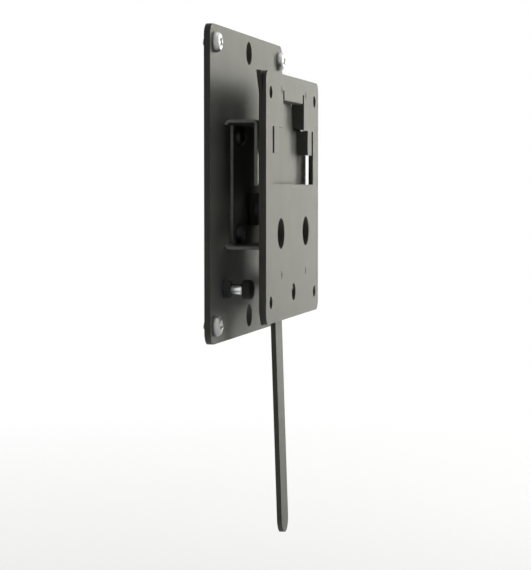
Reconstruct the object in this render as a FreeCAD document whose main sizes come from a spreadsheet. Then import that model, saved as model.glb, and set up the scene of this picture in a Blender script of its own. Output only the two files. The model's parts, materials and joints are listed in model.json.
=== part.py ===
import FreeCAD, Part
import os

import Sketcher

# Fixed wall mount with a lift-off display plate and a release lever.
# Millimetres. The origin lies on the wall, at the centre of the wall plate's back.
# +Z is up, the wall is the plane Y = 0 and the display hangs in front of it, towards -Y.
# A "depth" below is a distance in front of the wall, so Y = -depth.

os.makedirs("parts", exist_ok=True)
doc = FreeCAD.newDocument("wall_mount")

# Driving sizes
SIZES = [
    # wall plate and its screws
    ("wall_size", 150.0), ("wall_thick", 3.0), ("wall_corner", 6.0),
    ("wall_screw_inset", 8.5), ("wall_hole_dia", 5.2),
    ("centre_hole_dia", 11.5), ("centre_hole_inset", 9.0),
    ("screw_shank_dia", 4.0), ("screw_head_dia", 9.6), ("screw_head_high", 3.2),
    ("screw_reach", 2.5), ("screw_neck_dia", 5.1), ("screw_neck_extra", 0.5),
    ("recess_long", 5.4), ("recess_wide", 1.3), ("recess_deep", 1.5),
    # spacer channel on the wall plate, one folded sheet
    ("channel_wide", 97.0), ("channel_high", 62.0), ("channel_thick", 1.4), ("web_inset", 11.0),
    ("channel_front", 19.1), ("channel_bend", 1.0), ("lip_foot", 0.4),
    ("channel_screw_side", 28.5), ("channel_screw_up", 23.7), ("channel_screw_dia", 5.0),
    ("flange_front", 20.4), ("slot_wide", 19.0), ("slot_back", 10.5), ("stop_gap", 0.05),
    # hook plate riveted on the channel's lip
    ("hook_wide", 109.0), ("hook_thick", 1.4), ("hook_foot", -0.4), ("hook_shoulder", 28.0),
    ("hook_top", 41.0), ("hook_top_half", 19.0), ("hook_root_half", 23.0),
    ("hook_rivet_side", 40.0), ("hook_rivet_up", 15.0), ("hook_rivet_half", 7.0), ("hook_rivet_dia", 4.0),
    # release lever, hung on a pin in a bracket inside the channel
    ("pivot_depth", 11.9), ("pivot_up", -12.0), ("pin_dia", 4.0), ("pin_fit", 0.05),
    ("lever_wide", 14.5), ("lever_thick", 2.5), ("lever_long", 164.0), ("lever_lean", 1.9),
    ("eye_wide", 9.0), ("neck_drop", 5.5),
    ("bracket_thick", 1.8), ("bracket_gap", 16.0), ("bracket_high", 16.0), ("bracket_nose", 5.5),
    ("bracket_rivet_half", 4.5), ("bracket_rivet_dia", 3.0),
    ("pin_head_dia", 7.0), ("pin_head_thick", 1.4), ("pin_tail", 2.4),
    ("clip_dia", 8.0), ("clip_thick", 0.8), ("clip_groove", 0.5), ("clip_mouth", 2.6),
    ("spring_wire", 0.9), ("spring_slack", 0.4), ("spring_leg", 9.0),
    # latch pin on the lever
    ("latch_dia", 4.0), ("latch_head_dia", 6.5), ("latch_head_thick", 0.9), ("latch_inset", 0.6),
    ("latch_play", 0.6),
    # bumper posts on the wall plate
    ("bumper_inset", 25.0), ("post_dia", 5.0), ("post_end", 14.0),
    ("nut_flats", 8.0), ("nut_thick", 4.0), ("tip_dia", 9.6), ("tip_start", 12.6), ("tip_end", 17.2),
    # display plate and the hanger plate riveted behind it
    ("display_size", 120.0), ("display_centre", -6.2), ("display_corner", 5.0),
    ("display_front", 26.1), ("display_thick", 1.5), ("hanger_thick", 2.0),
    ("display_hole_pitch", 100.0), ("display_hole_dia", 6.0),
    ("access_dia", 15.0), ("latch_hole_dia", 8.6), ("latch_hole_inset", 12.5),
    ("window_top_half", 24.0), ("window_top_gap", 0.4), ("window_shoulder", 28.0),
    ("window_half", 46.6), ("window_foot", 0.2),
    ("relief_wide", 3.0), ("relief_high", 4.5),
    ("tab_inner", 33.5), ("tab_outer", 43.0), ("tab_long", 12.6), ("return_gap", 0.4),
    ("hanger_margin", 0.6), ("hanger_side_margin", 5.2),
    ("flare_high", 11.0), ("flare_back", 1.3), ("bevel_high", 6.0),
    ("hanger_hook_half", 17.0), ("hanger_hook_thick", 2.0), ("hanger_hook_drop", 7.5), ("hook_slack", 1.0),
    ("guide_clear", 0.4), ("guide_gap", 1.0),
    ("plate_rivet_side", 27.6), ("plate_rivet_top_inset", 8.0), ("plate_rivet_low_inset", 22.0),
    ("plate_rivet_dia", 4.0),
    ("dimple_deep", 0.3),
]
sheet = doc.addObject("Spreadsheet::Sheet", "Sizes")
for row, (alias, value) in enumerate(SIZES, start=1):
    cell = "A%d" % row
    sheet.set(cell, str(value))
    sheet.setAlias(cell, alias)
doc.recompute()
COILS = 4
ALIASES = sorted((alias for alias, _ in SIZES), key=len, reverse=True)


def bound(formula):
    """The formula with each size's name pointed at the sheet."""
    words = []
    word = ""
    for letter in formula + " ":
        if letter.isalnum() or letter in "_.":
            word += letter
        else:
            words.append("Sizes." + word if word in ALIASES else word)
            words.append(letter)
            word = ""
    return "".join(words).strip()


def number(formula):
    result = sheet.evalExpression(bound(formula))
    return float(getattr(result, "Value", result))


# Places and depths that follow from the sizes
WALL_SCREW = "(wall_size / 2 - wall_screw_inset)"
CENTRE_HOLE = "(wall_size / 2 - centre_hole_inset)"
BUMPER_SIDE = "(wall_size / 2 - bumper_inset)"
BUMPER_UP = "-(wall_size / 2 - bumper_inset)"
DISPLAY_LOW = "(display_centre - display_size / 2)"
DISPLAY_HIGH = "(display_centre + display_size / 2)"
RIVET_TOP = "(display_centre + display_size / 2 - plate_rivet_top_inset)"
RIVET_LOW = "(display_centre - display_size / 2 + plate_rivet_low_inset)"
WEB_FRONT = "(wall_thick + channel_thick)"
LIP_BACK = "(channel_front - channel_thick)"
HOOK_FRONT = "(channel_front + hook_thick)"
PLATE_BACK = "(display_front - display_thick)"
HANGER_BACK = "(display_front - display_thick - hanger_thick)"
EYE_IN = "(pin_dia / 2 + pin_fit)"
EYE_OUT = "(pin_dia / 2 + pin_fit + lever_thick)"
WINDOW_TOP = "(hook_top + window_top_gap)"
RELIEF_TOP = "(hook_top + window_top_gap + relief_high)"
LATCH_HOLE = "(display_centre - display_size / 2 + latch_hole_inset)"
LATCH_UP = "(%s + latch_hole_dia / 2 - latch_dia / 2 - latch_play)" % LATCH_HOLE
EAR_OUT = "(bracket_gap / 2 + bracket_thick)"
SLOT_FRONT = ("pivot_depth + %s / cos(lever_lean * 1deg)"
              " + (pivot_up + channel_high / 2) * tan(lever_lean * 1deg) + stop_gap" % EYE_OUT)


# Building helpers
def drive(thing, prop, formula):
    thing.setExpression(prop, bound(formula))


def new_body(name):
    return doc.addObject("PartDesign::Body", name)


def new_sketch(body, name, role, offset="0"):
    """A sketch on one of the body's own origin planes, shifted along the plane's normal."""
    plane = [item for item in body.Origin.OriginFeatures if item.Role == role][0]
    sketch = body.newObject("Sketcher::SketchObject", name)
    sketch.AttachmentSupport = [(plane, "")]
    sketch.MapMode = "FlatFace"
    drive(sketch, "AttachmentOffset.Base.z", offset)
    doc.recompute()
    return sketch


def pin_point(sketch, geo, vertex, x_formula, y_formula):
    """Tie one point of a sketch to its two coordinates."""
    for kind, axis, formula in (("DistanceX", -2, x_formula), ("DistanceY", -1, y_formula)):
        if formula == "0":
            sketch.addConstraint(Sketcher.Constraint("PointOnObject", geo, vertex, axis))
        else:
            index = sketch.addConstraint(Sketcher.Constraint(kind, -1, 1, geo, vertex, number(formula)))
            sketch.setExpression("Constraints[%d]" % index, bound(formula))


def polygon(sketch, points):
    """A closed outline through points given as pairs of formulas."""
    at = [FreeCAD.Vector(number(x), number(y), 0) for x, y in points]
    first = sketch.GeometryCount
    count = len(points)
    for i in range(count):
        sketch.addGeometry(Part.LineSegment(at[i], at[(i + 1) % count]), False)
    for i in range(count):
        sketch.addConstraint(Sketcher.Constraint("Coincident", first + i, 2, first + (i + 1) % count, 1))
    for i, (x, y) in enumerate(points):
        pin_point(sketch, first + i, 1, x, y)


def circle(sketch, x, y, diameter):
    centre = FreeCAD.Vector(number(x), number(y), 0)
    geo = sketch.addGeometry(Part.Circle(centre, FreeCAD.Vector(0, 0, 1), number(diameter) / 2), False)
    pin_point(sketch, geo, 3, x, y)
    index = sketch.addConstraint(Sketcher.Constraint("Diameter", geo, number(diameter)))
    sketch.setExpression("Constraints[%d]" % index, bound(diameter))


def pad(body, sketch, length, midplane=False):
    before = body.Shape.Volume if body.Tip else 0.0
    feature = body.newObject("PartDesign::Pad", sketch.Name + "_pad")
    feature.Profile = sketch
    drive(feature, "Length", length)
    feature.Midplane = midplane
    sketch.Visibility = False
    doc.recompute()
    assert feature.Shape.Volume > before, feature.Name
    return feature


def pocket(body, sketch, length, midplane=False):
    before = body.Shape.Volume
    feature = body.newObject("PartDesign::Pocket", sketch.Name + "_cut")
    feature.Profile = sketch
    drive(feature, "Length", length)
    feature.Midplane = midplane
    sketch.Visibility = False
    doc.recompute()
    assert feature.Shape.Volume < before - 0.01, feature.Name
    return feature


def revolve(body, sketch, axis):
    feature = body.newObject("PartDesign::Revolution", sketch.Name + "_turn")
    feature.Profile = sketch
    feature.ReferenceAxis = (sketch, [axis])
    feature.Angle = 360.0
    sketch.Visibility = False
    doc.recompute()
    return feature


def fillet(body, radius, chooses):
    """Round every edge of the body whose middle point and direction suit the test."""
    base = body.Tip
    names = []
    for i, edge in enumerate(base.Shape.Edges, start=1):
        if len(edge.Vertexes) != 2 or edge.Curve.TypeId != "Part::GeomLine":
            continue
        if chooses(edge.CenterOfMass, edge.tangentAt(edge.FirstParameter)):
            names.append("Edge%d" % i)
    assert names, body.Name
    feature = body.newObject("PartDesign::Fillet", body.Name + "_round")
    feature.Base = (base, names)
    drive(feature, "Radius", radius)
    doc.recompute()
    assert feature.isValid(), feature.Name
    return feature


def near(a, formula, slack=0.05):
    return abs(a - number(formula)) < slack


def place(thing, x="0", depth="0", up="0"):
    drive(thing, "Placement.Base.x", x)
    drive(thing, "Placement.Base.y", "-(" + depth + ")")
    drive(thing, "Placement.Base.z", up)


def mirrored(source, name, normal, up="0"):
    """A mirror copy of a piece across a plane through the given height."""
    copy = doc.addObject("Part::Mirroring", name)
    copy.Source = source
    copy.Normal = normal
    drive(copy, "Base.z", up)
    return copy


def group(name, members):
    """Separate solids of one kind under one name."""
    made = doc.addObject("Part::Compound", name)
    made.Links = members
    return made


def four_corners(name, source, up="0"):
    beside = mirrored(source, name + "_beside", FreeCAD.Vector(1, 0, 0))
    below = mirrored(source, name + "_below", FreeCAD.Vector(0, 0, 1), up)
    across = mirrored(beside, name + "_across", FreeCAD.Vector(0, 0, 1), up)
    return group(name, [source, beside, below, across])


def screw(name, shank_dia, length, neck_dia=None, neck_long=None):
    """A pan-head screw with a cross recess: seat at Y = 0, head towards -Y."""
    body = new_body(name)
    half = "(%s) / 2" % shank_dia
    shank = [(half, "0")]
    if neck_dia:
        neck_half = "(%s) / 2" % neck_dia
        shank = [(neck_half, "0"), (neck_half, neck_long), (half, neck_long)]
    profile = new_sketch(body, name + "_profile", "XY_Plane")
    polygon(profile, [
        ("0", "-screw_head_high"),
        ("screw_head_dia / 2 - screw_head_high * 0.45", "-screw_head_high"),
        ("screw_head_dia / 2", "-screw_head_high * 0.4"),
        ("screw_head_dia / 2", "0"),
        *shank,
        (half, length),
        ("0", length),
    ])
    revolve(body, profile, "V_Axis")
    recess = new_sketch(body, name + "_recess", "XZ_Plane", "screw_head_high")
    arm = "recess_long / 2"
    rib = "recess_wide / 2"
    polygon(recess, [
        ("-" + rib, "-" + arm), (rib, "-" + arm), (rib, "-" + rib), (arm, "-" + rib),
        (arm, rib), (rib, rib), (rib, arm), ("-" + rib, arm),
        ("-" + rib, rib), ("-" + arm, rib), ("-" + arm, "-" + rib), ("-" + rib, "-" + rib),
    ])
    pocket(body, recess, "recess_deep")
    return body


def rivet(name, dia, length, head, tail):
    """A rivet along Y: shank from Y = 0 back to the length, heads of the given heights."""
    body = new_body(name)
    profile = new_sketch(body, name + "_profile", "XY_Plane")
    half = "(%s) / 2" % dia
    points = [("0", "-(%s)" % head if head != "0" else "0")]
    if head != "0":
        points += [(half, "-(%s)" % head), ("(%s) * 0.85" % dia, "0")]
    points += [(half, "0"), (half, length)]
    if tail != "0":
        points += [("(%s) * 0.8" % dia, length), (half, "(%s) + (%s)" % (length, tail))]
    points.append(("0", "(%s) + (%s)" % (length, tail) if tail != "0" else length))
    polygon(profile, points)
    revolve(body, profile, "V_Axis")
    return body


def rectangle(half_x, low, high):
    return [("-(%s)" % half_x, low), (half_x, low), (half_x, high), ("-(%s)" % half_x, high)]


def along(vector, axis):
    return abs(vector[axis]) > 0.999


# Wall plate
wall_plate = new_body("wall_plate")
wall_outline = new_sketch(wall_plate, "wall_outline", "XZ_Plane")
polygon(wall_outline, rectangle("wall_size / 2", "-wall_size / 2", "wall_size / 2"))
pad(wall_plate, wall_outline, "wall_thick")
fillet(wall_plate, "wall_corner", lambda at, way: along(way, 1))
wall_holes = new_sketch(wall_plate, "wall_holes", "XZ_Plane", "wall_thick")
for side in ("-", ""):
    for level in ("-", ""):
        circle(wall_holes, side + WALL_SCREW, level + WALL_SCREW, "wall_hole_dia")
        circle(wall_holes, side + "channel_screw_side", level + "channel_screw_up", "channel_screw_dia")
    circle(wall_holes, "0", side + CENTRE_HOLE, "centre_hole_dia")
    circle(wall_holes, side + BUMPER_SIDE, BUMPER_UP, "post_dia")
pocket(wall_plate, wall_holes, "wall_thick")

wall_screw = screw("wall_screw", "screw_shank_dia", "wall_thick + screw_reach",
                   "screw_neck_dia", "wall_thick + screw_neck_extra")
place(wall_screw, WALL_SCREW, "wall_thick", WALL_SCREW)
wall_screws = four_corners("wall_screws", wall_screw)

# Spacer channel: back web, two flanges and a front lip folded down from the upper flange
channel = new_body("spacer_channel")
fold = new_sketch(channel, "channel_fold", "YZ_Plane")
top = "channel_high / 2"
polygon(fold, [
    ("-wall_thick", "-" + top), ("-flange_front", "-" + top),
    ("-flange_front", "-" + top + " + channel_thick"), ("-" + WEB_FRONT, "-" + top + " + channel_thick"),
    ("-" + WEB_FRONT, top + " - channel_thick"), ("-" + LIP_BACK, top + " - channel_thick"),
    ("-" + LIP_BACK, "lip_foot"), ("-channel_front", "lip_foot"),
    ("-channel_front", top), ("-wall_thick", top),
])
pad(channel, fold, "channel_wide", midplane=True)


def channel_outer(at, way):
    if not along(way, 0) or not near(abs(at.z), top):
        return False
    return near(-at.y, "wall_thick") or (at.z > 0 and near(-at.y, "channel_front"))


def channel_inner(at, way):
    if not along(way, 0) or not near(abs(at.z), top + " - channel_thick"):
        return False
    return near(-at.y, WEB_FRONT) or (at.z > 0 and near(-at.y, LIP_BACK))


fillet(channel, "channel_bend + channel_thick", channel_outer)
fillet(channel, "channel_bend", channel_inner)
web_holes = new_sketch(channel, "web_holes", "XZ_Plane", WEB_FRONT)
for side in ("-", ""):
    for level in ("-", ""):
        circle(web_holes, side + "channel_screw_side", level + "channel_screw_up", "channel_screw_dia")
    circle(web_holes, "0", "pivot_up " + (side or "+") + " bracket_rivet_half", "bracket_rivet_dia")
pocket(channel, web_holes, "channel_thick")
# the web stops short of the flanges' ends
web_ends = new_sketch(channel, "web_ends", "XZ_Plane", WEB_FRONT)
flat_top = "(channel_high / 2 - channel_thick - channel_bend)"
for side in ("-", ""):
    web_end = side + "(channel_wide / 2 - web_inset)"
    past_end = side + "(channel_wide / 2 + 1)"
    polygon(web_ends, [
        (web_end, "-" + flat_top), (past_end, "-" + flat_top), (past_end, flat_top), (web_end, flat_top),
    ])
pocket(channel, web_ends, "channel_thick")
lip_holes = new_sketch(channel, "lip_holes", "XZ_Plane", "channel_front")
for side in ("-", ""):
    for level in ("-", "+"):
        rivet_up = "hook_rivet_up " + level + " hook_rivet_half"
        circle(lip_holes, side + "hook_rivet_side", rivet_up, "hook_rivet_dia")
pocket(channel, lip_holes, "channel_thick")
# the slot's front edge stops the lever
slot = new_sketch(channel, "lever_slot", "XY_Plane", "-" + top + " + channel_thick")
polygon(slot, rectangle("slot_wide / 2", "-(%s)" % SLOT_FRONT, "-slot_back"))
pocket(channel, slot, "channel_thick")

channel_screw = screw("channel_screw", "channel_screw_dia", WEB_FRONT)
place(channel_screw, "channel_screw_side", WEB_FRONT, "channel_screw_up")
channel_screws = four_corners("channel_screws", channel_screw)

# Hook plate on the lip: the display's hanger drops over its tapered tongue
hook_plate = new_body("hook_plate")
hook_outline = new_sketch(hook_plate, "hook_outline", "XZ_Plane", "channel_front")
polygon(hook_outline, [
    ("-hook_wide / 2", "hook_foot"), ("hook_wide / 2", "hook_foot"),
    ("hook_wide / 2", "hook_shoulder"), ("hook_root_half", "hook_shoulder"),
    ("hook_top_half", "hook_top"), ("-hook_top_half", "hook_top"),
    ("-hook_root_half", "hook_shoulder"), ("-hook_wide / 2", "hook_shoulder"),
])
pad(hook_plate, hook_outline, "hook_thick")
hook_holes = new_sketch(hook_plate, "hook_holes", "XZ_Plane", HOOK_FRONT)
for side in ("-", ""):
    for level in ("-", "+"):
        rivet_up = "hook_rivet_up " + level + " hook_rivet_half"
        circle(hook_holes, side + "hook_rivet_side", rivet_up, "hook_rivet_dia")
pocket(hook_plate, hook_holes, "hook_thick")
hook_rivet = rivet("hook_rivet", "hook_rivet_dia", "hook_thick + channel_thick", "0", "channel_thick * 0.7")
place(hook_rivet, "hook_rivet_side", HOOK_FRONT, "hook_rivet_up + hook_rivet_half")
hook_rivets = four_corners("hook_rivets", hook_rivet, "hook_rivet_up")

# Pivot bracket, a U of folded sheet on the channel's back web
bracket = new_body("pivot_bracket")
bracket_plan = new_sketch(bracket, "bracket_plan", "XY_Plane", "pivot_up")
nose = "-(pivot_depth + bracket_nose)"
seat = "-(wall_thick + channel_thick + bracket_thick)"
ear_in = "bracket_gap / 2"
polygon(bracket_plan, [
    ("-" + EAR_OUT, "-" + WEB_FRONT), (EAR_OUT, "-" + WEB_FRONT), (EAR_OUT, nose), (ear_in, nose),
    (ear_in, seat), ("-" + ear_in, seat), ("-" + ear_in, nose), ("-" + EAR_OUT, nose),
])
pad(bracket, bracket_plan, "bracket_high", midplane=True)
fillet(bracket, "bracket_thick + 0.6", lambda at, way: along(way, 2) and near(-at.y, WEB_FRONT))
fillet(bracket, "bracket_nose - 0.5", lambda at, way: along(way, 0) and near(at.y, nose))
pin_holes = new_sketch(bracket, "pin_holes", "YZ_Plane")
circle(pin_holes, "-pivot_depth", "pivot_up", "pin_dia")
pocket(bracket, pin_holes, EAR_OUT + " * 2 + 2", midplane=True)
bracket_holes = new_sketch(bracket, "bracket_holes", "XZ_Plane", "wall_thick + channel_thick + bracket_thick")
for level in ("-", "+"):
    circle(bracket_holes, "0", "pivot_up " + level + " bracket_rivet_half", "bracket_rivet_dia")
pocket(bracket, bracket_holes, "bracket_thick")
bracket_rivet = rivet("bracket_rivet", "bracket_rivet_dia", "bracket_thick + channel_thick", "0.7", "0")
place(bracket_rivet, "0", "wall_thick + channel_thick + bracket_thick", "pivot_up + bracket_rivet_half")
lower_rivet = mirrored(bracket_rivet, "bracket_rivet_below", FreeCAD.Vector(0, 0, 1), "pivot_up")
bracket_rivets = group("bracket_rivets", [bracket_rivet, lower_rivet])

# Pivot pin with a head at one end and a clip groove at the other
pivot_pin = new_body("pivot_pin")
pin_profile = new_sketch(pivot_pin, "pin_profile", "XY_Plane")
pin_half = "pin_dia / 2"
groove = EAR_OUT + " + 0.2"
polygon(pin_profile, [
    ("-" + EAR_OUT + " - pin_head_thick", "0"), ("-" + EAR_OUT + " - pin_head_thick", "pin_head_dia / 2"),
    ("-" + EAR_OUT, "pin_head_dia / 2"), ("-" + EAR_OUT, pin_half), (groove, pin_half),
    (groove, pin_half + " - clip_groove"), (groove + " + clip_thick", pin_half + " - clip_groove"),
    (groove + " + clip_thick", pin_half), (groove + " + clip_thick + pin_tail - 0.5", pin_half),
    (groove + " + clip_thick + pin_tail", pin_half + " - 0.5"), (groove + " + clip_thick + pin_tail", "0"),
])
revolve(pivot_pin, pin_profile, "H_Axis")
place(pivot_pin, "0", "pivot_depth", "pivot_up")

pin_clip = new_body("pin_clip")
clip_ring = new_sketch(pin_clip, "clip_ring", "YZ_Plane", groove)
circle(clip_ring, "0", "0", "clip_dia")
circle(clip_ring, "0", "0", "pin_dia - clip_groove * 2")
pad(pin_clip, clip_ring, "clip_thick")
clip_mouth = new_sketch(pin_clip, "clip_mouth_cut", "YZ_Plane", groove + " + clip_thick")
polygon(clip_mouth, rectangle("clip_mouth / 2", "0", "clip_dia"))
pocket(pin_clip, clip_mouth, "clip_thick")
place(pin_clip, "0", "pivot_depth", "pivot_up")


def lean(thing):
    """Hang a piece at the pivot, leaning like the lever."""
    thing.Placement = FreeCAD.Placement(FreeCAD.Vector(), FreeCAD.Rotation(FreeCAD.Vector(1, 0, 0), 1))
    place(thing, "0", "pivot_depth", "pivot_up")
    drive(thing, "Placement.Rotation.Angle", "-lever_lean * 1deg")


# Release lever: a strip rolled into an eye round the pin, with a round lower end
lever = new_body("release_lever")
eye = new_sketch(lever, "lever_eye", "YZ_Plane", "-lever_wide / 2")
circle(eye, "0", "0", EYE_OUT + " * 2")
circle(eye, "0", "0", EYE_IN + " * 2")
pad(lever, eye, "eye_wide")
neck = new_sketch(lever, "lever_neck", "YZ_Plane", "-lever_wide / 2")
polygon(neck, [
    ("-" + EYE_OUT, "0"), ("-" + EYE_OUT, "-neck_drop"),
    ("-" + EYE_IN, "-neck_drop"), ("-" + EYE_IN, "0"),
])
pad(lever, neck, "eye_wide")
strip = new_sketch(lever, "lever_strip", "YZ_Plane")
polygon(strip, [
    ("-" + EYE_OUT, "-neck_drop"), ("-" + EYE_OUT, "-lever_long"),
    ("-" + EYE_IN, "-lever_long"), ("-" + EYE_IN, "-neck_drop"),
])
pad(lever, strip, "lever_wide", midplane=True)
fillet(lever, "lever_wide / 2 - 0.05", lambda at, way: along(way, 1) and near(at.z, "-lever_long"))
latch_seat = new_sketch(lever, "latch_seat", "XZ_Plane", EYE_OUT)
LATCH_DROP = "(pivot_up - %s)" % LATCH_UP
circle(latch_seat, "0", "-" + LATCH_DROP, "latch_dia")
pocket(lever, latch_seat, "lever_thick")
lean(lever)

latch_pin = new_body("latch_pin")
latch_profile = new_sketch(latch_pin, "latch_profile", "XY_Plane")
latch_tip = "-(display_front - latch_inset - pivot_depth - %s * tan(lever_lean * 1deg))" % LATCH_DROP
latch_half = "latch_dia / 2"
polygon(latch_profile, [
    ("0", latch_tip), (latch_half + " - 1", latch_tip), (latch_half, latch_tip + " + 1"),
    (latch_half, "-" + EYE_IN), ("latch_head_dia / 2", "-" + EYE_IN),
    ("latch_head_dia / 2", "-" + EYE_IN + " + latch_head_thick"), ("0", "-" + EYE_IN + " + latch_head_thick"),
])
turned = revolve(latch_pin, latch_profile, "V_Axis")
drive(latch_profile, "AttachmentOffset.Base.z", "-" + LATCH_DROP)
lean(latch_pin)

# Return spring: close-wound coils on the pivot pin, one leg on the lever and one on the bracket
spring = new_body("return_spring")
coil_in = "(pin_dia / 2 + spring_slack)"
coil_mid = "(pin_dia / 2 + spring_slack + spring_wire / 2)"
coils = new_sketch(spring, "spring_coils", "XY_Plane")
ridges = [("0", coil_in)]
for turn in range(COILS):
    ridges += [
        ("spring_wire * %d" % turn if turn else "0", coil_mid),
        ("spring_wire * %.1f" % (turn + 0.5), coil_in + " + spring_wire"),
    ]
ridges += [("spring_wire * %d" % COILS, coil_mid), ("spring_wire * %d" % COILS, coil_in)]
polygon(coils, ridges)
revolve(spring, coils, "H_Axis")
leg_dia = "spring_wire * 0.92"
lever_leg = new_sketch(spring, "spring_lever_leg", "XY_Plane", "-spring_leg")
circle(lever_leg, "spring_wire / 2", coil_mid, leg_dia)
pad(spring, lever_leg, "spring_leg")
lever_foot = new_sketch(spring, "spring_lever_foot", "XZ_Plane", "-" + coil_mid)
circle(lever_foot, "spring_wire / 2", "-spring_leg", "spring_wire")
pad(spring, lever_foot, "%s + %s + (spring_leg - spring_wire) * tan(lever_lean * 1deg)" % (coil_mid, EYE_IN))
back_reach = "(pivot_depth - %s - bracket_thick)" % WEB_FRONT
back_leg = new_sketch(spring, "spring_back_leg", "XZ_Plane", "-" + back_reach)
circle(back_leg, "spring_wire * %.1f" % (COILS - 0.5), "-" + coil_mid, leg_dia)
pad(spring, back_leg, back_reach)
place(spring, "eye_wide - lever_wide / 2 + spring_slack", "pivot_depth", "pivot_up")

# Bumper posts with a hex nut and a rubber tip
post = new_body("bumper_post")
post_profile = new_sketch(post, "post_profile", "XY_Plane")
post_half = "post_dia / 2"
polygon(post_profile, [
    ("0", "-post_end"), (post_half, "-post_end"), (post_half, "0"), ("0", "0"),
])
revolve(post, post_profile, "V_Axis")
place(post, BUMPER_SIDE, "0", BUMPER_UP)
bumper_posts = group("bumper_posts", [post, mirrored(post, "bumper_post_left", FreeCAD.Vector(1, 0, 0))])

nut = new_body("bumper_nut")
nut_plan = new_sketch(nut, "nut_plan", "XZ_Plane", "wall_thick")
corner = "nut_flats / 3 ^ 0.5"
polygon(nut_plan, [
    (corner, "0"), (corner + " / 2", "nut_flats / 2"), ("-" + corner + " / 2", "nut_flats / 2"),
    ("-" + corner, "0"), ("-" + corner + " / 2", "-nut_flats / 2"), (corner + " / 2", "-nut_flats / 2"),
])
circle(nut_plan, "0", "0", "post_dia")
pad(nut, nut_plan, "nut_thick")
place(nut, BUMPER_SIDE, "0", BUMPER_UP)
bumper_nuts = group("bumper_nuts", [nut, mirrored(nut, "bumper_nut_left", FreeCAD.Vector(1, 0, 0))])

tip = new_body("bumper_tip")
tip_profile = new_sketch(tip, "tip_profile", "XY_Plane")
tip_half = "tip_dia / 2"
polygon(tip_profile, [
    ("0", "-tip_end"), (tip_half + " - 1.2", "-tip_end"), (tip_half, "-tip_end + 1.2"),
    (tip_half, "-tip_start"), (post_half, "-tip_start"), (post_half, "-post_end"), ("0", "-post_end"),
])
revolve(tip, tip_profile, "V_Axis")
place(tip, BUMPER_SIDE, "0", BUMPER_UP)
bumper_tips = group("bumper_tips", [tip, mirrored(tip, "bumper_tip_left", FreeCAD.Vector(1, 0, 0))])


# Display plate: square sheet with a stepped window and two hanging tabs
def display_holes(sketch):
    """Holes that pass through the display plate and the hanger plate behind it."""
    for across in ("-", ""):
        for level in ("-", "+"):
            circle(sketch, across + "display_hole_pitch / 2",
                   "display_centre " + level + " display_hole_pitch / 2", "display_hole_dia")
        circle(sketch, across + "channel_screw_side", "-channel_screw_up", "access_dia")
        circle(sketch, across + "plate_rivet_side", RIVET_TOP, "plate_rivet_dia")
        circle(sketch, across + "plate_rivet_side", RIVET_LOW, "plate_rivet_dia")
    circle(sketch, "0", LATCH_HOLE, "latch_hole_dia")


display_plate = new_body("display_plate")
display_outline = new_sketch(display_plate, "display_outline", "XZ_Plane", PLATE_BACK)
polygon(display_outline, rectangle("display_size / 2", DISPLAY_LOW, DISPLAY_HIGH))
pad(display_plate, display_outline, "display_thick")
fillet(display_plate, "display_corner", lambda at, way: along(way, 1))
window = new_sketch(display_plate, "window", "XZ_Plane", "display_front")
relief_in = "window_top_half - relief_wide"
right_side = [
    (relief_in, WINDOW_TOP), (relief_in, RELIEF_TOP),
    ("window_top_half", RELIEF_TOP), ("window_top_half", "window_shoulder"),
    ("tab_inner", "window_shoulder"), ("tab_inner", "window_shoulder - tab_long"),
    ("tab_outer", "window_shoulder - tab_long"), ("tab_outer", "window_shoulder"),
    ("window_half", "window_shoulder"), ("window_half", "window_foot"),
]
left_side = [("-(%s)" % x, y) for x, y in reversed(right_side)]
polygon(window, right_side + left_side)
pocket(display_plate, window, "display_thick")
# each tab's inner edge is folded back, to run on the hook plate
return_back = HOOK_FRONT + " + return_gap"
tab_returns = new_sketch(display_plate, "tab_returns", "XZ_Plane", return_back)
for side in ("-", ""):
    return_in = side + "tab_inner"
    return_out = side + "(tab_inner + display_thick)"
    polygon(tab_returns, [
        (return_in, "window_shoulder - tab_long"), (return_out, "window_shoulder - tab_long"),
        (return_out, "window_shoulder"), (return_in, "window_shoulder"),
    ])
pad(display_plate, tab_returns, "%s - (%s) + display_thick / 3" % (PLATE_BACK, return_back))
plate_holes = new_sketch(display_plate, "plate_holes", "XZ_Plane", "display_front")
display_holes(plate_holes)
pocket(display_plate, plate_holes, "display_thick")

# Hanger plate behind it: flared top edge, bevelled foot and a hook over the tongue
hanger = new_body("hanger_plate")
hanger_fold = new_sketch(hanger, "hanger_fold", "YZ_Plane")
polygon(hanger_fold, [
    ("-" + PLATE_BACK, DISPLAY_LOW), ("-" + PLATE_BACK, DISPLAY_HIGH + " - flare_high"),
    ("-" + PLATE_BACK + " + flare_back", DISPLAY_HIGH), ("-" + HANGER_BACK + " + flare_back", DISPLAY_HIGH),
    ("-" + HANGER_BACK, DISPLAY_HIGH + " - flare_high"), ("-" + HANGER_BACK, DISPLAY_LOW + " + bevel_high"),
    ("-" + HANGER_BACK + " - hanger_thick / 2", DISPLAY_LOW),
])
pad(hanger, hanger_fold, "display_size", midplane=True)
hanger_window = new_sketch(hanger, "hanger_window", "XZ_Plane", "display_front")
wide = "window_half + hanger_side_margin"
slim = "window_top_half"
sill = "window_foot - hanger_margin"
ledge = "window_shoulder + hanger_margin"
polygon(hanger_window, [
    ("-(%s)" % wide, sill), (wide, sill), (wide, ledge), (slim, ledge), (slim, "hook_top"),
    ("-" + slim, "hook_top"), ("-" + slim, ledge), ("-(%s)" % wide, ledge),
])
pocket(hanger, hanger_window, "display_thick + hanger_thick + flare_back + 2")
hanger_holes = new_sketch(hanger, "hanger_holes", "XZ_Plane", "display_front")
display_holes(hanger_holes)
pocket(hanger, hanger_holes, "display_thick + hanger_thick + flare_back + 2")
hanger_hook = new_sketch(hanger, "hanger_hook", "YZ_Plane")
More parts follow.
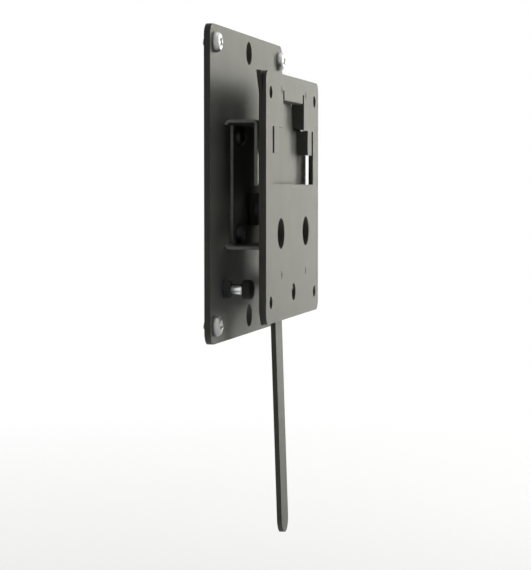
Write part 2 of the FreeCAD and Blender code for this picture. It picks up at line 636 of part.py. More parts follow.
claw_root = "-%s - hanger_thick / 4" % HANGER_BACK
claw_front = "-(channel_front - hook_slack)"
claw_back = "-(channel_front - hook_slack - hanger_hook_thick)"
polygon(hanger_hook, [
    (claw_root, "hook_top"), (claw_root, "hook_top + hanger_hook_thick"),
    (claw_back, "hook_top + hanger_hook_thick"), (claw_back, "hook_top - hanger_hook_drop"),
    (claw_front, "hook_top - hanger_hook_drop"), (claw_front, "hook_top"),
])
pad(hanger, hanger_hook, "hanger_hook_half * 2", midplane=True)
fillet(hanger, "hanger_hook_thick * 0.9",
       lambda at, way: along(way, 0) and near(at.y, claw_back) and near(at.z, "hook_top + hanger_hook_thick"))
# two guides folded back beside the tongue
guide_back = "(channel_front + guide_clear)"
guides = new_sketch(hanger, "hanger_guides", "XZ_Plane", guide_back)
for side in ("-", ""):
    guide_in = side + slim
    guide_out = "%s(%s + hanger_thick)" % (side, slim)
    guide_low = "hook_shoulder + guide_gap"
    guide_high = "hook_top + hanger_hook_thick"
    polygon(guides, [
        (guide_in, guide_low), (guide_out, guide_low), (guide_out, guide_high), (guide_in, guide_high),
    ])
pad(hanger, guides, "%s - %s + hanger_thick / 4" % (HANGER_BACK, guide_back))

rivet_long = "display_thick + hanger_thick - dimple_deep"
plate_rivet = rivet("plate_rivet", "plate_rivet_dia", rivet_long, "0", "0")
place(plate_rivet, "plate_rivet_side", "display_front - dimple_deep", RIVET_TOP)
low_rivet = rivet("plate_rivet_low_right", "plate_rivet_dia", rivet_long, "0", "0")
place(low_rivet, "plate_rivet_side", "display_front - dimple_deep", RIVET_LOW)
plate_rivets = group("plate_rivets", [
    plate_rivet, mirrored(plate_rivet, "plate_rivet_left", FreeCAD.Vector(1, 0, 0)),
    low_rivet, mirrored(low_rivet, "plate_rivet_low_left", FreeCAD.Vector(1, 0, 0)),
])
doc.recompute()

# Write every piece once it is sound
PIECES = [
    wall_plate, wall_screws, channel, channel_screws, hook_plate, hook_rivets, bracket, bracket_rivets,
    pivot_pin, pin_clip, spring, lever, latch_pin, bumper_posts, bumper_nuts, bumper_tips,
    display_plate, hanger, plate_rivets,
]
for thing in doc.Objects:
    if "Invalid" in thing.State or "Error" in thing.State:
        raise RuntimeError("not sound: " + thing.Name)
for piece in PIECES:
    if piece.Shape.isNull() or not piece.Shape.isValid():
        raise RuntimeError("bad shape: " + piece.Name)
    print(piece.Name, len(piece.Shape.Solids), round(piece.Shape.Volume, 1), piece.Shape.BoundBox)
    piece.Shape.exportStep("parts/%s.step" % piece.Name)
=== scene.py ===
import json
import math

import bmesh
import bpy
from mathutils import Matrix, Vector
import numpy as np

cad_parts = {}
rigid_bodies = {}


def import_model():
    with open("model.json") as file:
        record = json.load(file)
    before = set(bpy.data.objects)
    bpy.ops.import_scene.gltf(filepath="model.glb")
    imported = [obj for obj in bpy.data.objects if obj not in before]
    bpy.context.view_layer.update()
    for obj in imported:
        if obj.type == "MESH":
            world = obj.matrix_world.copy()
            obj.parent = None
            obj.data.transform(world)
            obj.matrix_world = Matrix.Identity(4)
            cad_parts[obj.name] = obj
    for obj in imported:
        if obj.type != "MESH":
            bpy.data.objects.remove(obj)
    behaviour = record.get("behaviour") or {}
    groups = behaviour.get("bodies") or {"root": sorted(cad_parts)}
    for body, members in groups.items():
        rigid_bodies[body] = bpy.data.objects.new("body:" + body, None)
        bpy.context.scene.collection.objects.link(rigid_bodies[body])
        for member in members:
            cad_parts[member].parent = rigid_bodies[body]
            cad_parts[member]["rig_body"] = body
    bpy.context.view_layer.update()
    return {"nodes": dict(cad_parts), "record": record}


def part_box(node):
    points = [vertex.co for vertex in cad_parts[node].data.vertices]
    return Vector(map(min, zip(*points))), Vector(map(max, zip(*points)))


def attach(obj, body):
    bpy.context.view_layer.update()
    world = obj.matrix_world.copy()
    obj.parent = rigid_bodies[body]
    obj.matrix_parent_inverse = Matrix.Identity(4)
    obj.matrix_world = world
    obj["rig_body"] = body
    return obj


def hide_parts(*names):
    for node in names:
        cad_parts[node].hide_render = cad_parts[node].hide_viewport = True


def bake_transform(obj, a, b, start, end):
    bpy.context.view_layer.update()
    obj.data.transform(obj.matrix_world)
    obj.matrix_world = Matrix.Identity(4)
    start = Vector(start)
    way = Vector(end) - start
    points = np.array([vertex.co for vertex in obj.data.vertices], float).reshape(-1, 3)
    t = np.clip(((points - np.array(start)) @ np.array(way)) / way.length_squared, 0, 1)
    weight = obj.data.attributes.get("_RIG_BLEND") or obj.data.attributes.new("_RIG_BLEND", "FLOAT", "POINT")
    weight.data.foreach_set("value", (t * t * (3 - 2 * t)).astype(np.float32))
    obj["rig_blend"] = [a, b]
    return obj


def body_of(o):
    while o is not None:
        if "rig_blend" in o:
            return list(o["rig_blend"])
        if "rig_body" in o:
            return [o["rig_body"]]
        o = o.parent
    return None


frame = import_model()
scene = bpy.context.scene
nodes = frame["nodes"]
SLOT_OF = {entry["node"]: entry["material_slot"] for entry in frame["record"]["subparts"]}
MM = 0.001
WHITE = (1.0, 1.0, 1.0, 1.0)

# Materials
PAINT_LIGHT = (0.122, 0.122, 0.113)
PAINT_DARK = (0.104, 0.104, 0.097)
CUT_STEEL = (0.62, 0.62, 0.60)
RUBBER_DARK = (0.010, 0.010, 0.010)
RUBBER_LIGHT = (0.026, 0.026, 0.025)
# roughness of a paint, from its smoothest to its roughest spots
SATIN = (0.44, 0.56)
MATT = (0.76, 0.90)


class Shader:
    """A principled material with a few helpers for its node tree."""

    def __init__(self, name):
        self.material = bpy.data.materials.new(name)
        self.material.use_nodes = True
        self.tree = self.material.node_tree
        self.surface = self.tree.nodes["Principled BSDF"]
        spot = self.node("ShaderNodeTexCoord")
        self.place = spot.outputs["Object"]
        self.facing = spot.outputs["Normal"]

    def node(self, kind):
        return self.tree.nodes.new(kind)

    def link(self, source, target):
        self.tree.links.new(source, target)

    def set(self, **values):
        for name, value in values.items():
            self.surface.inputs[name.replace("_", " ")].default_value = value

    def noise(self, scale, detail=3.0, roughness=0.55, stretch=None):
        texture = self.node("ShaderNodeTexNoise")
        texture.inputs["Scale"].default_value = scale
        texture.inputs["Detail"].default_value = detail
        texture.inputs["Roughness"].default_value = roughness
        place = self.place
        if stretch:
            mapping = self.node("ShaderNodeMapping")
            mapping.inputs["Scale"].default_value = stretch
            self.link(place, mapping.inputs["Vector"])
            place = mapping.outputs["Vector"]
        self.link(place, texture.inputs["Vector"])
        return texture.outputs["Fac"]

    def ramp(self, value, *stops):
        """A colour that runs between stops given as (position, colour)."""
        ramp = self.node("ShaderNodeValToRGB")
        while len(ramp.color_ramp.elements) < len(stops):
            ramp.color_ramp.elements.new(0.5)
        for element, (position, colour) in zip(ramp.color_ramp.elements, stops):
            element.position = position
            element.color = (*colour, 1.0)
        self.link(value, ramp.inputs["Fac"])
        return ramp.outputs["Color"]

    def plain(self, colour):
        swatch = self.node("ShaderNodeRGB")
        swatch.outputs["Color"].default_value = (*colour, 1.0)
        return swatch.outputs["Color"]

    def scaled(self, value, low, high, start=0.0, end=1.0):
        """Spread what lies between start and end over low to high."""
        span = self.node("ShaderNodeMapRange")
        for name, limit in (("From Min", start), ("From Max", end), ("To Min", low), ("To Max", high)):
            span.inputs[name].default_value = limit
        self.link(value, span.inputs["Value"])
        return span.outputs["Result"]

    def mixed(self, factor, first, second):
        mix = self.node("ShaderNodeMix")
        mix.data_type = "RGBA"
        self.link(factor, mix.inputs["Factor"])
        self.link(first, mix.inputs["A"])
        self.link(second, mix.inputs["B"])
        return mix.outputs["Result"]

    def colour(self, value):
        self.link(value, self.surface.inputs["Base Color"])

    def rough(self, value):
        self.link(value, self.surface.inputs["Roughness"])

    def bumps(self, *layers):
        """Stack bump layers given as (height, distance in metres, strength)."""
        normal = None
        for height, distance, strength in layers:
            bump = self.node("ShaderNodeBump")
            bump.inputs["Distance"].default_value = distance
            bump.inputs["Strength"].default_value = strength
            self.link(height, bump.inputs["Height"])
            if normal:
                self.link(normal, bump.inputs["Normal"])
            normal = bump.outputs["Normal"]
        self.link(normal, self.surface.inputs["Normal"])


def shade(colour, share):
    return tuple(part * share for part in colour)


def bare_ends(shader, coat, steel):
    """The coat's colour, with cut ends that face sideways left bare, as on sheet cut after coating."""
    sides = shader.node("ShaderNodeSeparateXYZ")
    shader.link(shader.facing, sides.inputs["Vector"])
    size = shader.node("ShaderNodeMath")
    size.operation = "ABSOLUTE"
    shader.link(sides.outputs["X"], size.inputs[0])
    bare = shader.scaled(size.outputs["Value"], 0.0, 1.0, start=0.75, end=0.95)
    grit = shader.noise(1800.0, 3.0, 0.6, stretch=(0.2, 1.0, 0.2))
    return shader.mixed(bare, coat, shader.ramp(grit, (0.3, shade(steel, 0.8)), (0.7, steel)))


def powder_coat(name, finish, steel=None):
    """Fine textured powder coat, faintly cloudy. Where steel is given, it shows on the cut ends."""
    shader = Shader(name)
    cloud = shader.noise(55.0, 4.0)
    grain = shader.noise(2600.0, 2.0, 0.6)
    speck = shader.noise(1150.0, 2.0, 0.7)
    base = shader.ramp(cloud, (0.3, PAINT_DARK), (0.7, PAINT_LIGHT))
    grainy = shader.ramp(grain, (0.32, shade(PAINT_DARK, 0.86)), (0.68, shade(PAINT_LIGHT, 1.1)))
    coat = shader.mixed(shader.scaled(speck, 0.15, 0.45), base, grainy)
    shader.colour(bare_ends(shader, coat, steel) if steel else coat)
    shader.rough(shader.scaled(grain, *finish))
    shader.bumps((speck, 0.08 * MM, 0.35), (grain, 0.04 * MM, 0.3))
    shader.set(Specular_IOR_Level=0.05)
    return shader.material


def plated_steel(name, light, dark, roughness):
    """Plated steel with faint turning marks and stains."""
    shader = Shader(name)
    marks = shader.noise(900.0, 3.0, 0.6)
    stain = shader.noise(260.0, 3.0)
    turned = shader.ramp(marks, (0.3, dark), (0.7, light))
    shader.colour(shader.mixed(stain, turned, shader.plain(light)))
    shader.rough(shader.scaled(marks, roughness * 0.75, roughness * 1.35))
    shader.bumps((marks, 0.03 * MM, 0.25))
    shader.set(Metallic=1.0)
    return shader.material


def rubber(name):
    """Black rubber with a fine grain and a faint bloom."""
    shader = Shader(name)
    grain = shader.noise(3200.0, 2.0, 0.7)
    bloom = shader.noise(240.0, 3.0)
    shader.colour(shader.ramp(bloom, (0.25, RUBBER_DARK), (0.75, RUBBER_LIGHT)))
    shader.rough(shader.scaled(grain, 0.62, 0.82))
    shader.bumps((grain, 0.05 * MM, 0.4))
    shader.set(Specular_IOR_Level=0.35)
    return shader.material


LOOKS = {
    "plate_paint": powder_coat("powder_coat", SATIN),
    "screw_steel": plated_steel("zinc_plate", (0.44, 0.44, 0.44), (0.32, 0.32, 0.32), 0.45),
    "spring_steel": plated_steel("spring_wire", (0.34, 0.34, 0.35), (0.22, 0.22, 0.23), 0.32),
    "post_chrome": plated_steel("bright_post", (0.74, 0.75, 0.76), (0.60, 0.61, 0.62), 0.14),
    "nut_steel": plated_steel("black_steel", (0.060, 0.060, 0.062), (0.032, 0.032, 0.034), 0.55),
    "tip_rubber": rubber("tip_rubber"),
}
OWN_LOOK = {
    "spacer_channel": powder_coat("cut_channel", MATT, CUT_STEEL),
    "hook_plate": powder_coat("cut_sheet", SATIN, CUT_STEEL),
    "hanger_plate": powder_coat("matt_coat", MATT),
}

# Looks and rolled edges of the CAD nodes
EDGE_ANGLE = math.radians(32.0)
EDGE_MM = {
    "wall_plate": 0.35, "spacer_channel": 0.2, "hook_plate": 0.2, "display_plate": 0.25, "hanger_plate": 0.3,
    "release_lever": 0.35, "pivot_bracket": 0.2, "pivot_pin": 0.15, "pin_clip": 0.08, "latch_pin": 0.15,
}


def dress(piece, slot, look=None):
    piece.data.materials.clear()
    piece.data.materials.append(look or LOOKS[slot])


def soften(piece, width):
    """A small rolled edge, as paint and punching leave on sheet metal."""
    bevel = piece.modifiers.new("edges", "BEVEL")
    bevel.width = width
    bevel.segments = 2
    bevel.limit_method = "ANGLE"
    bevel.angle_limit = EDGE_ANGLE
    bevel.use_clamp_overlap = True


for name, piece in nodes.items():
    dress(piece, SLOT_OF[name], OWN_LOOK.get(name))
    if name in EDGE_MM:
        soften(piece, EDGE_MM[name] * MM)

# Building helpers for the small turned and wound pieces, in metres
SEGMENTS = 96
ANGLES = [2.0 * math.pi * i / SEGMENTS for i in range(SEGMENTS)]
DOME_STEPS = 8
SMOOTH_ANGLE = math.radians(34.0)
LEAST_RADIUS = 1e-7


def facing_room(x, depth, z):
    """A frame at a point in front of the wall, its Z axis pointing into the room."""
    return Matrix(((1, 0, 0, x), (0, 0, -1, -depth), (0, 1, 0, z), (0, 0, 0, 1)))


def vertex(bm, place, radius, angle, height):
    """A vertex at a radius, angle and height about a frame's Z axis."""
    return bm.verts.new(place @ Vector((radius * math.cos(angle), radius * math.sin(angle), height)))


def ring(bm, place, radius, height):
    """A ring of vertices, or a single one where the radius is nothing."""
    if radius < LEAST_RADIUS:
        return [vertex(bm, place, 0.0, 0.0, height)]
    return [vertex(bm, place, radius, angle, height) for angle in ANGLES]


def join_rings(bm, rings):
    """Skin neighbouring rings, where a ring of one point closes the skin."""
    for lower, upper in zip(rings, rings[1:]):
        count = max(len(lower), len(upper))
        for i in range(count):
            j = (i + 1) % count
            corners = [
                lower[i % len(lower)], lower[j % len(lower)],
                upper[j % len(upper)], upper[i % len(upper)],
            ]
            bm.faces.new(list(dict.fromkeys(corners)))


def lathe(bm, place, profile):
    """Turn a profile of (radius, height) pairs round the frame's Z axis."""
    join_rings(bm, [ring(bm, place, radius, height) for radius, height in profile])


def arc(centre, radius, start, end, steps=8):
    """Points of a round stretch of a profile, with angles in degrees."""
    angles = (math.radians(start + (end - start) * i / steps) for i in range(steps + 1))
    return [(centre[0] + radius * math.cos(a), centre[1] + radius * math.sin(a)) for a in angles]


def dome(wide, seat, top):
    """Points of a half-oval profile, from the rim of a head to its middle."""
    angles = (math.pi / 2 * i / DOME_STEPS for i in range(DOME_STEPS + 1))
    return [(wide * math.cos(a), seat + (top - seat) * math.sin(a)) for a in angles]


def finished(node, made, bm, bend=None):
    """A smooth-shaded piece that stands for a CAD node and moves with its body, or bends to another."""
    name = node + "_" + made
    bmesh.ops.recalc_face_normals(bm, faces=bm.faces)
    mesh = bpy.data.meshes.new(name)
    bm.to_mesh(mesh)
    bm.free()
    mesh.polygons.foreach_set("use_smooth", [True] * len(mesh.polygons))
    mesh.set_sharp_from_angle(angle=SMOOTH_ANGLE)
    piece = bpy.data.objects.new(name, mesh)
    scene.collection.objects.link(piece)
    dress(piece, SLOT_OF[node])
    body = body_of(nodes[node])[0]
    if bend:
        other, start, end = bend
        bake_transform(piece, body, other, start=start, end=end)
    else:
        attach(piece, body)
    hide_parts(node)


def four_places(node, radius):
    """Centres of four round things that share a node, from its box."""
    low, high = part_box(node)
    return [(x, z) for x in (low.x + radius, high.x - radius) for z in (low.z + radius, high.z - radius)]


# Screws
wall_front = -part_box("wall_plate")[0].y
web_front = -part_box("pivot_bracket")[1].y
SCREW_HEAD = 4.8 * MM
SCREW_NECK = 2.55 * MM
SCREW_NECK_EXTRA = 0.5 * MM
WALL_CREST = 2.0 * MM
WALL_ROOT = 1.64 * MM
WALL_END = 1.4 * MM
WALL_LEAD = 0.25 * MM
WALL_PITCH = 0.8 * MM
CHANNEL_SHANK = 2.5 * MM
CHANNEL_END = 2.15 * MM
CHANNEL_LEAD = 0.4 * MM
CROSS_TURNS = (8.0, 52.0, 71.0, 29.0)
THREAD_STEPS = 10
# how fast a thread rises at its start and sinks at its end, and what is left of it there
THREAD_FADE = 6.0
THREAD_LEFT = 0.25
HEAD_RINGS = 46
HEAD_BOW = 2.6  # the power of a pan head's curve
# its rim and foot as shares of its height, its flat and foot as shares of its radius
HEAD_RIM = 0.28
HEAD_FLAT = 0.42
FOOT_HIGH = 0.08
FOOT_WIDE = 0.985
# its cross recess as shares of the head, then the form of an arm as shares of its width or reach
CROSS_REACH = 0.58
CROSS_WIDE = 0.34
CROSS_DEEP = 0.5
ARM_HALF = 0.62
ARM_TAPER = 0.22
ARM_WALL = 0.16
ARM_RISE = 1.9


def cross_depth(x, y, radius, height):
    """Depth of a tapered cross recess at a point of a screw's head."""
    reach = CROSS_REACH * radius
    width = CROSS_WIDE * radius
    depth = 0.0
    for along, across in ((abs(x), abs(y)), (abs(y), abs(x))):
        if along < reach:
            half = width * (ARM_HALF - ARM_TAPER * along / reach)
            wall = min(1.0, max(0.0, (half - across) / (ARM_WALL * width) + 0.5))
            rise = min(1.0, ARM_RISE * (1.0 - along / reach))
            depth = max(depth, wall * rise * CROSS_DEEP * height)
    return depth


def pan_head(bm, place, radius, height):
    """Rings of a domed pan head with a cross recess, down to its seat."""
    rim = HEAD_RIM * height
    flat = HEAD_FLAT * radius
    made = []
    for k in range(HEAD_RINGS + 1):
        out = radius * k / HEAD_RINGS
        bow = max(0.0, (out - flat) / (radius - flat))
        top = rim + (height - rim) * math.sqrt(max(0.0, 1.0 - bow ** HEAD_BOW))
        layer = []
        for angle in ANGLES if k else ANGLES[:1]:
            sink = cross_depth(out * math.cos(angle), out * math.sin(angle), radius, height)
            layer.append(vertex(bm, place, out, angle, top - sink))
        made.append(layer)
    made.append(ring(bm, place, radius, FOOT_HIGH * height))
    made.append(ring(bm, place, FOOT_WIDE * radius, 0.0))
    return made


def thread(bm, place, crest, root, start, end, pitch):
    """Rings of a screw thread from one height down to another."""
    made = []
    rows = max(4, int(abs(end - start) / pitch * THREAD_STEPS))
    for k in range(rows + 1):
        height = start + (end - start) * k / rows
        fade = min(1.0, THREAD_FADE * k / rows, THREAD_FADE * (rows - k) / rows + THREAD_LEFT)
        layer = []
        for i, angle in enumerate(ANGLES):
            wave = abs(((height / pitch - i / SEGMENTS) % 1.0) * 2.0 - 1.0)
            radius = crest - (crest - root) * (1.0 - fade * wave)
            layer.append(vertex(bm, place, radius, angle, height))
        made.append(layer)
    return made


def wall_shank(bm, place, long):
    """A plain neck in the plate's hole, then a short thread."""
    neck_end = -wall_front - SCREW_NECK_EXTRA
    return [
        ring(bm, place, SCREW_NECK, 0.0),
        ring(bm, place, SCREW_NECK, neck_end),
        *thread(bm, place, WALL_CREST, WALL_ROOT, neck_end, WALL_LEAD - long, WALL_PITCH),
        ring(bm, place, WALL_END, -long),
        ring(bm, place, 0.0, -long),
    ]


def channel_shank(bm, place, long):
    """A plain shank with a broken end."""
    return [
        ring(bm, place, CHANNEL_SHANK, 0.0),
        ring(bm, place, CHANNEL_SHANK, CHANNEL_LEAD - long),
        ring(bm, place, CHANNEL_END, -long),
        ring(bm, place, 0.0, -long),
    ]


def four_screws(node, seat, shank):
    bm = bmesh.new()
    low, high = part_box(node)
    for (x, z), turn in zip(four_places(node, SCREW_HEAD), CROSS_TURNS):
        place = facing_room(x, seat, z) @ Matrix.Rotation(math.radians(turn), 4, "Z")
        rings = pan_head(bm, place, SCREW_HEAD, -low.y - seat)
        join_rings(bm, rings + shank(bm, place, high.y + seat))
    finished(node, "cut", bm)


four_screws("wall_screws", wall_front, wall_shank)
four_screws("channel_screws", web_front, channel_shank)

# Bumpers: bright post, chamfered nut and a round rubber tip
POST = 2.5 * MM
POST_NECK = 2.25 * MM
NECK_BACK = 1.0 * MM
NECK_FRONT = 0.2 * MM
NECK_SLOPE = 0.2 * MM
NUT_FLATS = 8.0 * MM
NUT_LEAD = 0.4 * MM
NUT_CHAMFER = math.radians(30.0)
TIP = 4.8 * MM
TIP_BACK_ROUND = 0.5 * MM
TIP_FRONT_ROUND = 1.6 * MM


def hex_nut(bm, place, thick, bore):
    """A hex nut with chamfered corners and a broken bore edge, from its seat up."""
    inner = NUT_FLATS / 2

    def hexagon(upper):
        made = []
        for angle in ANGLES:
            radius = inner / math.cos(angle % (math.pi / 3) - math.pi / 6)
            chamfer = (radius - inner) * math.tan(NUT_CHAMFER)
            made.append(vertex(bm, place, radius, angle, thick - chamfer if upper else chamfer))
        return made

    rings = [
        ring(bm, place, bore, NUT_LEAD),
        ring(bm, place, bore + NUT_LEAD, 0.0),
        ring(bm, place, inner, 0.0),
        hexagon(upper=False),
        hexagon(upper=True),
        ring(bm, place, inner, thick),
        ring(bm, place, bore + NUT_LEAD, thick),
        ring(bm, place, bore, thick - NUT_LEAD),
    ]
    join_rings(bm, rings + rings[:1])


def bumpers():
    posts = bmesh.new()
    nuts = bmesh.new()
    tips = bmesh.new()
    post_low, post_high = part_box("bumper_posts")
    nut_low, nut_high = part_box("bumper_nuts")
    tip_low, tip_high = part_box("bumper_tips")
    z = (post_low.z + post_high.z) / 2
    post_end = -post_low.y
    start = -tip_high.y
    end = -tip_low.y
    for x in (post_low.x + POST, post_high.x - POST):
        place = facing_room(x, 0.0, z)
        lathe(posts, place, [
            (0.0, 0.0), (POST, 0.0), (POST, start - NECK_BACK), (POST_NECK, start - NECK_BACK + NECK_SLOPE),
            (POST_NECK, start - NECK_FRONT - NECK_SLOPE), (POST, start - NECK_FRONT),
            (POST, post_end), (0.0, post_end),
        ])
        hex_nut(nuts, facing_room(x, -nut_high.y, z), nut_high.y - nut_low.y, POST)
        lathe(tips, place, [
            (0.0, post_end), (POST, post_end), (POST, start),
            *arc((TIP - TIP_BACK_ROUND, start + TIP_BACK_ROUND), TIP_BACK_ROUND, -90.0, 0.0),
            *arc((TIP - TIP_FRONT_ROUND, end - TIP_FRONT_ROUND), TIP_FRONT_ROUND, 0.0, 90.0),
            (0.0, end),
        ])
    finished("bumper_posts", "turned", posts)
    finished("bumper_nuts", "cut", nuts)
    finished("bumper_tips", "moulded", tips)


bumpers()

# Rivets, closed by a punch that leaves a shallow ring or a dome
RIVET = 2.0 * MM
FLUSH_EDGE = 0.2 * MM
FLUSH_FILL = 0.2 * MM
DIMPLE = 0.8 * MM
DIMPLE_RIM = 1.0 * MM
DIMPLE_DEEP = 0.15 * MM
TAIL = 3.2 * MM
TAIL_GRIP = 2.8 * MM
TAIL_EDGE = 0.05 * MM
BRACKET_HEAD = 2.55 * MM
BRACKET_HEAD_HIGH = 0.7 * MM
BRACKET_SHANK = 1.5 * MM


def four_rivets(node, widest, profile_between):
    """Four rivets of a node, each turned from the profile between its two ends."""
    bm = bmesh.new()
    low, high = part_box(node)
    for x, z in four_places(node, widest):
        lathe(bm, facing_room(x, 0.0, z), profile_between(-high.y, -low.y))
    finished(node, "set", bm)


def flush_rivet(back, front):
    """A rivet with a punch mark, where the coat fills the sink almost to the plate's face."""
    top = front + FLUSH_FILL
    edge = top - FLUSH_EDGE
    return [
        (0.0, back), (RIVET, back), (RIVET, edge), *arc((RIVET - FLUSH_EDGE, edge), FLUSH_EDGE, 0.0, 90.0, 4),
        (DIMPLE_RIM, top), (DIMPLE, top - DIMPLE_DEEP), (0.0, top - DIMPLE_DEEP),
    ]


def tailed_rivet(back, front):
    """A rivet with a domed tail at its back and a flush front."""
    seat = front - TAIL_GRIP
    return [
        *reversed(dome(TAIL, seat, back)), (RIVET, seat),
        (RIVET, front - TAIL_EDGE), (RIVET - TAIL_EDGE, front), (0.0, front),
    ]


def bracket_rivets():
    bm = bmesh.new()
    low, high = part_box("bracket_rivets")
    back = -high.y
    top = -low.y
    seat = top - BRACKET_HEAD_HIGH
    for z in (low.z + BRACKET_HEAD, high.z - BRACKET_HEAD):
        lathe(bm, facing_room(0.0, 0.0, z), [
            (0.0, back), (BRACKET_SHANK, back), (BRACKET_SHANK, seat), *dome(BRACKET_HEAD, seat, top),
        ])
    finished("bracket_rivets", "set", bm)


four_rivets("plate_rivets", RIVET, flush_rivet)
four_rivets("hook_rivets", TAIL, tailed_rivet)
bracket_rivets()

# Return spring, a true helix with two bent legs
WIRE = 0.45 * MM
WIRE_SIDES = 14
COIL = 2.85 * MM
COIL_LONG = 6.0 * WIRE
COIL_TURNS = 2.75
COIL_STEPS = 132
LEG = 9.0 * MM
LEG_FOOT = 2.3 * MM
LEG_BEND = 1.2 * MM
BEND_STEPS = 6
LEG_STEPS = 8
BACK_STEPS = 4
# where the leg starts to follow the lever, below the pivot
FOLLOW_FROM = 4.0 * MM


def sweep(bm, points, radius):
    """A round wire through a list of points, closed at both ends."""
    turns = [2.0 * math.pi * k / WIRE_SIDES for k in range(WIRE_SIDES)]
    rings = [[bm.verts.new(points[0])]]
    normal = (points[1] - points[0]).orthogonal().normalized()
    for i, point in enumerate(points):
        way = (points[min(i + 1, len(points) - 1)] - points[max(i - 1, 0)]).normalized()
        normal = (normal - way * normal.dot(way)).normalized()
        side = way.cross(normal)
        offsets = (radius * (math.cos(t) * normal + math.sin(t) * side) for t in turns)
        rings.append([bm.verts.new(point + offset) for offset in offsets])
    rings.append([bm.verts.new(points[-1])])
    join_rings(bm, rings)


def return_spring():
    low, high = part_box("return_spring")
    pin_low, pin_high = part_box("pivot_pin")
    centre_y = (pin_low.y + pin_high.y) / 2
    centre_z = (pin_low.z + pin_high.z) / 2
    first = low.x + WIRE
    last = first + COIL_LONG

    def spot(x, y, z):
        return Vector((x, centre_y + y, centre_z + z))

    bend = arc((COIL - LEG_BEND, LEG_BEND - LEG), LEG_BEND, -90.0, 0.0, BEND_STEPS)
    path = [spot(first, -LEG_FOOT, -LEG)]
    path += [spot(first, y, z) for y, z in bend]
    path += [spot(first, COIL, -LEG * k / LEG_STEPS) for k in range(LEG_STEPS - 2, 0, -1)]
    for k in range(COIL_STEPS + 1):
        a = 2.0 * math.pi * COIL_TURNS * k / COIL_STEPS
        path.append(spot(first + (last - first) * k / COIL_STEPS, COIL * math.cos(a), COIL * math.sin(a)))
    reach = high.y - centre_y
    path += [spot(last, reach * k / BACK_STEPS, -COIL) for k in range(1, BACK_STEPS + 1)]
    bm = bmesh.new()
    sweep(bm, path, WIRE)
    lever = body_of(nodes["release_lever"])[0]
    follow = (lever, spot(first, 0.0, -FOLLOW_FROM), spot(first, 0.0, 1.5 * WIRE - LEG))
    finished("return_spring", "wound", bm, follow)


return_spring()

# White room and floor
AMBIENT = 0.05
FLOOR_SIZE = 8.0
FLOOR_HEIGHT = -0.26
FLOOR_DARK = (0.86, 0.86, 0.86)
FLOOR_LIGHT = (0.89, 0.89, 0.89)
# how much of the floor that a camera sees is plain white, near and far; the rest takes the object's shadow
FLOOR_GLOW = (0.6, 1.0)
FLOOR_REACH = (0.25, 1.1)


def mixed_shaders(tree, factor, first, second):
    mix = tree.nodes.new("ShaderNodeMixShader")
    tree.links.new(factor, mix.inputs["Fac"])
    tree.links.new(first, mix.inputs[1])
    tree.links.new(second, mix.inputs[2])
    return mix.outputs["Shader"]


def white_to_camera(tree, shader, white):
    """Mix a shader with plain white for what a camera sees, in mirrors and through glass too."""
    path = tree.nodes.new("ShaderNodeLightPath")
    seen = path.outputs["Is Camera Ray"]
    for ray in ("Is Glossy Ray", "Is Transmission Ray"):
        either = tree.nodes.new("ShaderNodeMath")
        either.operation = "MAXIMUM"
        tree.links.new(seen, either.inputs[0])
        tree.links.new(path.outputs[ray], either.inputs[1])
        seen = either.outputs["Value"]
    return mixed_shaders(tree, seen, shader, white)


def white_room():
    """Faint light from all sides, and a plain white backdrop."""
    world = bpy.data.worlds.new("studio")
    scene.world = world
    world.use_nodes = True
    tree = world.node_tree
    ambient = tree.nodes["Background"]
    backdrop = tree.nodes.new("ShaderNodeBackground")
    for light, strength in ((ambient, AMBIENT), (backdrop, 1.0)):
        light.inputs["Color"].default_value = WHITE
        light.inputs["Strength"].default_value = strength
    seen = white_to_camera(tree, ambient.outputs["Background"], backdrop.outputs["Background"])
    tree.links.new(seen, tree.nodes["World Output"].inputs["Surface"])


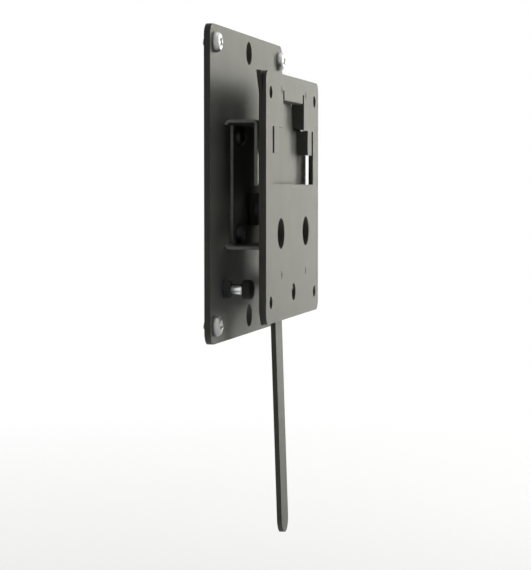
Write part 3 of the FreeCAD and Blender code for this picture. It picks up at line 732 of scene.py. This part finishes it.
def white_floor():
    """A pale floor under the object, which keeps its shadow."""
    bpy.ops.mesh.primitive_plane_add(size=FLOOR_SIZE, location=(0.0, 0.0, FLOOR_HEIGHT))
    floor = bpy.context.object
    floor.name = "floor"
    look = Shader("floor_pale")
    look.colour(look.ramp(look.noise(3.0, 2.0), (0.3, FLOOR_DARK), (0.7, FLOOR_LIGHT)))
    look.set(Roughness=0.9, Specular_IOR_Level=0.0)
    lit = look.surface.outputs["BSDF"]
    glow = look.node("ShaderNodeEmission")
    glow.inputs["Color"].default_value = WHITE
    away = look.node("ShaderNodeVectorMath")
    away.operation = "LENGTH"
    look.link(look.place, away.inputs[0])
    fade = look.scaled(away.outputs["Value"], *FLOOR_GLOW, *FLOOR_REACH)
    pale = mixed_shaders(look.tree, fade, lit, glow.outputs["Emission"])
    seen = white_to_camera(look.tree, lit, pale)
    look.link(seen, look.tree.nodes["Material Output"].inputs["Surface"])
    floor.data.materials.append(look.material)


white_room()
white_floor()

# Lamps
NEUTRAL = (1.0, 1.0, 1.0)
WARM = (1.0, 1.0, 0.9)
MIDDLE = (0.0, 0.0, -0.03)


def area_light(name, place, aim, wide, high, power, colour):
    lamp = bpy.data.lights.new(name, "AREA")
    lamp.shape = "RECTANGLE"
    lamp.size = wide
    lamp.size_y = high
    lamp.energy = power
    lamp.color = colour
    holder = bpy.data.objects.new(name, lamp)
    scene.collection.objects.link(holder)
    holder.location = place
    holder.rotation_euler = (Vector(aim) - Vector(place)).to_track_quat("-Z", "Y").to_euler()


area_light("key", (1.503, -0.547, 0.08), MIDDLE, 0.28, 1.1, 11.5, WARM)
area_light("front", (1.0, -1.15, 0.5), MIDDLE, 0.8, 0.8, 18.0, WARM)
area_light("top", (0.3, -0.5, 1.6), (0.0, 0.0, 0.0), 1.0, 1.0, 6.0, NEUTRAL)
area_light("rear", (0.6, 1.7, 0.6), MIDDLE, 1.0, 1.0, 14.0, NEUTRAL)

# The view: nearly edge-on from the room's left, level with the wall plate's middle
YAW = math.radians(75.89)
DISTANCE = 0.9043
EYE_HEIGHT = -0.0016
AIM = Vector((0.0, -0.0115, -0.0505))
FOCAL_PX = 965.74
PHOTO_WIDE_PX = 531.0
ZOOM = 1.85
SENSOR_MM = 36.0

eye = Vector((-math.sin(YAW) * DISTANCE, -math.cos(YAW) * DISTANCE, EYE_HEIGHT))
camera_data = bpy.data.cameras.new("camera")
camera_data.sensor_fit = "HORIZONTAL"
camera_data.sensor_width = SENSOR_MM
camera_data.lens = FOCAL_PX * ZOOM / PHOTO_WIDE_PX * SENSOR_MM
camera_data.clip_start = 0.01
camera = bpy.data.objects.new("camera", camera_data)
scene.collection.objects.link(camera)
camera.location = eye
camera.rotation_euler = (AIM - eye).to_track_quat("-Z", "Y").to_euler()
scene.camera = camera
scene.view_settings.view_transform = "Standard"
